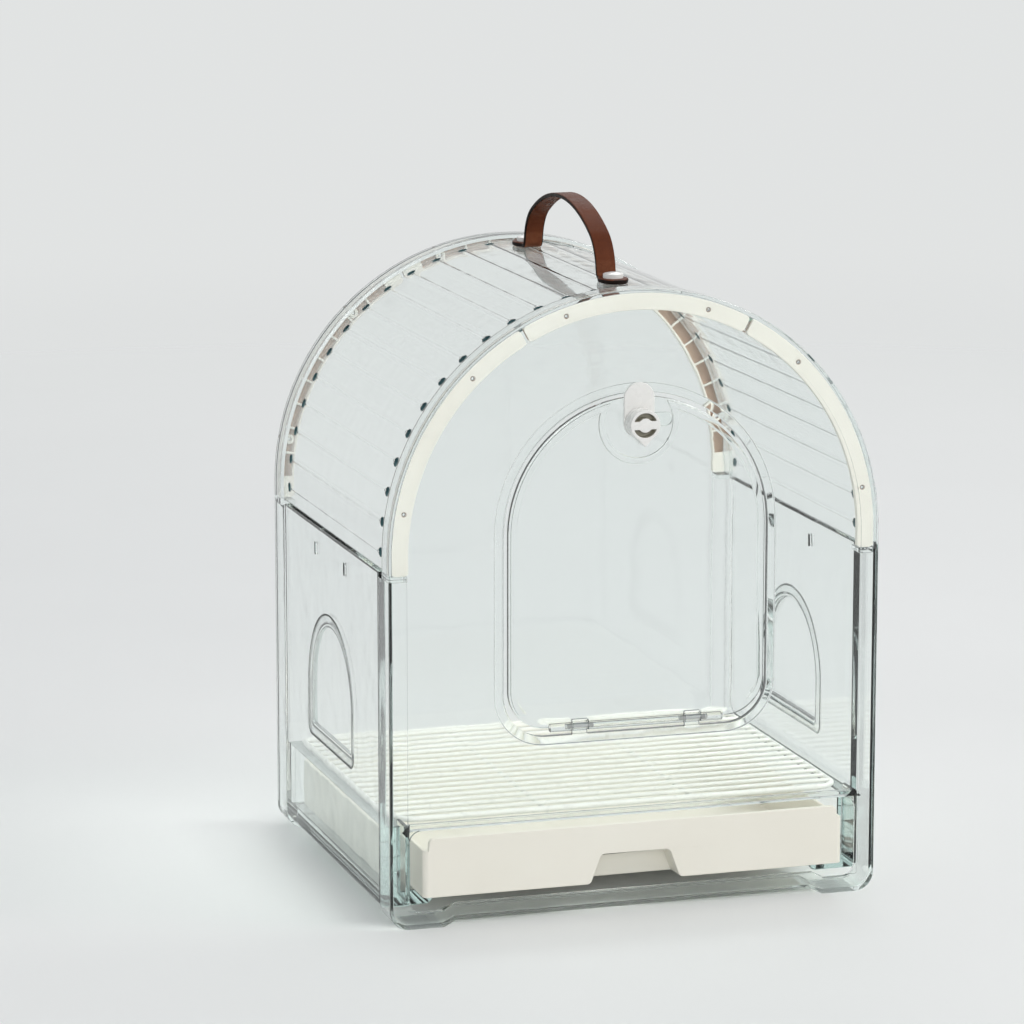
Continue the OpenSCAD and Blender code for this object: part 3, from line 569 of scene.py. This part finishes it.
def strap_section(half):
    """Points round the strap as (across, up, edge), where edge is 1 on its painted rims."""
    up = THICK / 2
    r = min(RIM_ROUNDING, half * 0.8)
    flat = half - r
    section = []
    for k in range(COLUMNS + 1):
        across = (-1 + 2 * k / COLUMNS) * flat
        off_line = ((half - abs(across)) - LINE_FROM_RIM) / LINE_WIDTH
        line = LINE_DEPTH * math.exp(-(off_line**2)) if half > LINE_MIN_HALF else 0.0
        section.append((across, up - line, 0.0))
    for k in range(1, RIM_COUNT + 1):
        a = math.pi / 2 * (1 - k / RIM_COUNT)
        section.append((flat + r * math.cos(a), up - r + r * math.sin(a), k / RIM_COUNT))
    for k in range(RIM_COUNT):
        a = -math.pi / 2 * k / RIM_COUNT
        section.append((flat + r * math.cos(a), -up + r + r * math.sin(a), 1.0))
    for k in range(COLUMNS + 1):
        section.append(((1 - 2 * k / COLUMNS) * flat, -up, 0.25))
    for k in range(1, RIM_COUNT + 1):
        a = -math.pi / 2 * (1 - k / RIM_COUNT)
        section.append((-flat - r * math.cos(a), -up + r + r * math.sin(a), 1.0))
    for k in range(RIM_COUNT):
        a = math.pi / 2 * k / RIM_COUNT
        section.append((-flat - r * math.cos(a), up - r + r * math.sin(a), 1.0 - k / RIM_COUNT))
    return section


def leather_strap():
    """The strap's mesh, swept along its path, with its rims and bends marked for the leather."""
    path = strap_path()
    bm = bmesh.new()
    edge_layer = bm.verts.layers.float.new("edge")
    bend_layer = bm.verts.layers.float.new("bend")
    rings = []
    for i, (y, z) in enumerate(path):
        y0, z0 = path[max(i - 1, 0)]
        y1, z1 = path[min(i + 1, len(path) - 1)]
        tangent = Vector((0.0, y1 - y0, z1 - z0)).normalized()
        out = Vector((0.0, tangent.z, -tangent.y))
        upper = 0 < abs(y) < CROWN_WITHIN or z > STRAP_Z + CROWN_ABOVE
        if upper and out.dot(Vector((0, y * 0.2, 1))) < 0:
            out.negate()
        flat = z < STRAP_Z + THICK / 2 + 0.01
        if flat:
            out = Vector((0.0, 0.0, 1.0))
        stretch = 0.0
        if z < STRAP_Z + STRETCH_HIGH:
            stretch = math.exp(-(((abs(y) - STRETCH_AT) / STRETCH_WIDTH) ** 2))
        tip_edge = 1.0 if abs(y) > END - TIP_RIM else 0.0
        centre = Vector((0.0, y, z))
        ring = []
        for across, up, edge in strap_section(strap_half_width(y, flat)):
            p = centre + Vector((across, 0, 0)) + out * up
            v = bm.verts.new((p.x * MM, p.y * MM + shift_y, p.z * MM))
            v[edge_layer] = max(edge, tip_edge)
            v[bend_layer] = stretch
            ring.append(v)
        rings.append(ring)
    for a, b in zip(rings, rings[1:]):
        for k in range(len(a)):
            after = (k + 1) % len(a)
            bm.faces.new((a[k], a[after], b[after], b[k]))
    bm.faces.new(rings[0])
    bm.faces.new(list(reversed(rings[-1])))
    bmesh.ops.remove_doubles(bm, verts=bm.verts, dist=SAME_ROUNDED_POINT)
    bmesh.ops.recalc_face_normals(bm, faces=bm.faces)
    mesh = bpy.data.meshes.new("strap")
    bm.to_mesh(mesh)
    bm.free()
    return mesh


def hole_cutter(y):
    """Round cutter for the hole of one screw."""
    mesh = bpy.data.meshes.new("cutter")
    bm = bmesh.new()
    bmesh.ops.create_cone(bm, cap_ends=True, segments=40, radius1=HOLE_RADIUS * MM,
                          radius2=HOLE_RADIUS * MM, depth=HOLE_DEPTH * MM)
    bmesh.ops.translate(bm, verts=bm.verts, vec=(0, y * MM + shift_y, (STRAP_Z + THICK / 2) * MM))
    bm.to_mesh(mesh)
    bm.free()
    cutter = bpy.data.objects.new("cutter", mesh)
    scene.collection.objects.link(cutter)
    return cutter


strap = bpy.data.objects.new("leather_strap", leather_strap())
scene.collection.objects.link(strap)
cutters = [hole_cutter(SCREW), hole_cutter(-SCREW)]
for cutter in cutters:
    cut = strap.modifiers.new("hole", "BOOLEAN")
    cut.operation, cut.object, cut.solver = "DIFFERENCE", cutter, "EXACT"
bpy.context.view_layer.update()
cut_strap = strap.evaluated_get(bpy.context.evaluated_depsgraph_get())
strap.data = bpy.data.meshes.new_from_object(cut_strap)
strap.modifiers.clear()
for cutter in cutters:
    bpy.data.objects.remove(cutter)
strap.data.materials.clear()
strap.data.materials.append(MATERIALS["strap_leather"])
strap.data.shade_smooth()
strap.data.set_sharp_from_angle(angle=math.radians(50))
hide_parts("handle_strap")
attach(strap, "handle")


# Floor, world and lamps
FLOOR_COLOUR, FLOOR_SHADE = (0.83, 0.84, 0.835), (0.81, 0.82, 0.815)
FLOOR_RADIUS, FLOOR_FADE = 4.0, (0.55, 2.4)  # the floor fades into the backdrop between these
SKY_LOW, SKY_HIGH, SKY_RISE = (0.755, 0.770, 0.767), (0.40, 0.43, 0.43), (0.22, 0.75)
SKY_LIGHT, SKY_STRENGTH = (0.95, 0.97, 1.0), 0.45
AIM = (0, 0, 0.16)


def floor_material():
    """Pale matt floor that fades out far from the carrier."""
    t = Tree("floor")
    mottle = t.noise(3.0, 3.0, 0.5)
    body = t.principled(
        Base_Color=t.blend(t.span(mottle, 0.3, 0.7), FLOOR_COLOUR, FLOOR_SHADE),
        Roughness=0.6,
        Specular_IOR_Level=0.2,
    )
    far = t.nodes.new("ShaderNodeVectorMath")
    far.operation = "LENGTH"
    t.join(t.place(), far.inputs[0])
    fade = t.span(far.outputs["Value"], *FLOOR_FADE, smooth=True)
    return t.finish(t.mixed(fade, body, t.see_through()))


floor_mesh = bpy.data.meshes.new("floor")
bm = bmesh.new()
bmesh.ops.create_circle(bm, cap_ends=True, segments=64, radius=FLOOR_RADIUS)
bm.to_mesh(floor_mesh)
bm.free()
floor = bpy.data.objects.new("floor", floor_mesh)
scene.collection.objects.link(floor)
floor_mesh.materials.append(floor_material())

world = bpy.data.worlds.new("world")
world.use_nodes = True
scene.world = world
world_nodes, world_links = world.node_tree.nodes, world.node_tree.links
world_nodes.clear()

# The sky that clear edges bend into view is darker high up, which draws their outlines
sky_place = world_nodes.new("ShaderNodeTexCoord")
sky_parts = world_nodes.new("ShaderNodeSeparateXYZ")
sky_rise = world_nodes.new("ShaderNodeMapRange")
sky_rise.interpolation_type = "SMOOTHSTEP"
sky_rise.inputs["From Min"].default_value, sky_rise.inputs["From Max"].default_value = SKY_RISE
sky_tone = world_nodes.new("ShaderNodeMix")
sky_tone.data_type = "RGBA"
sky_tone.inputs[6].default_value = (*SKY_LOW, 1.0)
sky_tone.inputs[7].default_value = (*SKY_HIGH, 1.0)
seen = world_nodes.new("ShaderNodeBackground")
seen.inputs["Strength"].default_value = 1.0
world_links.new(sky_place.outputs["Generated"], sky_parts.inputs[0])
world_links.new(sky_parts.outputs["Z"], sky_rise.inputs["Value"])
world_links.new(sky_rise.outputs["Result"], sky_tone.inputs[0])
world_links.new(sky_tone.outputs[2], seen.inputs["Color"])

# Rays from the camera, and those that mirror or bend, see the backdrop. The others get its light
light = world_nodes.new("ShaderNodeBackground")
light.inputs["Color"].default_value = (*SKY_LIGHT, 1.0)
light.inputs["Strength"].default_value = SKY_STRENGTH
paths = world_nodes.new("ShaderNodeLightPath")
direct = world_nodes.new("ShaderNodeMath")
direct.operation = "MAXIMUM"
sees = world_nodes.new("ShaderNodeMath")
sees.operation = "MAXIMUM"
sky = world_nodes.new("ShaderNodeMixShader")
world_out = world_nodes.new("ShaderNodeOutputWorld")
world_links.new(paths.outputs["Is Camera Ray"], direct.inputs[0])
world_links.new(paths.outputs["Is Glossy Ray"], direct.inputs[1])
world_links.new(direct.outputs[0], sees.inputs[0])
world_links.new(paths.outputs["Is Transmission Ray"], sees.inputs[1])
world_links.new(sees.outputs[0], sky.inputs[0])
world_links.new(light.outputs[0], sky.inputs[1])
world_links.new(seen.outputs[0], sky.inputs[2])
world_links.new(sky.outputs[0], world_out.inputs["Surface"])


def lamp(name, size, power, place, colour=(1, 1, 1)):
    """Rectangular lamp aimed at the carrier, which the camera and clear pieces don't see."""
    data = bpy.data.lights.new(name, "AREA")
    data.shape = "RECTANGLE"
    data.size, data.size_y = size
    data.energy = power
    data.color = colour
    item = bpy.data.objects.new(name, data)
    scene.collection.objects.link(item)
    item.location = place
    item.rotation_euler = (Vector(AIM) - Vector(place)).to_track_quat("-Z", "Y").to_euler()
    item.visible_camera = False
    item.visible_transmission = False


lamp("key", (0.8, 0.8), 25.0, (1.75, -1.0, 1.9), colour=(1.0, 0.985, 0.96))
lamp("front", (1.2, 0.9), 16.0, (-0.35, -2.7, 0.95), colour=(1.0, 0.99, 0.97))
lamp("fill", (1.2, 1.2), 3.0, (-1.9, -0.6, 1.3), colour=(0.96, 0.98, 1.0))
lamp("back", (1.6, 0.7), 14.0, (0.6, 1.9, 1.7))
lamp("top", (1.0, 1.0), 3.0, (0.0, 0.1, 2.2))

scene.view_settings.view_transform = "Standard"
scene.cycles.max_bounces = 20
scene.cycles.transmission_bounces = 20
scene.cycles.transparent_max_bounces = 24
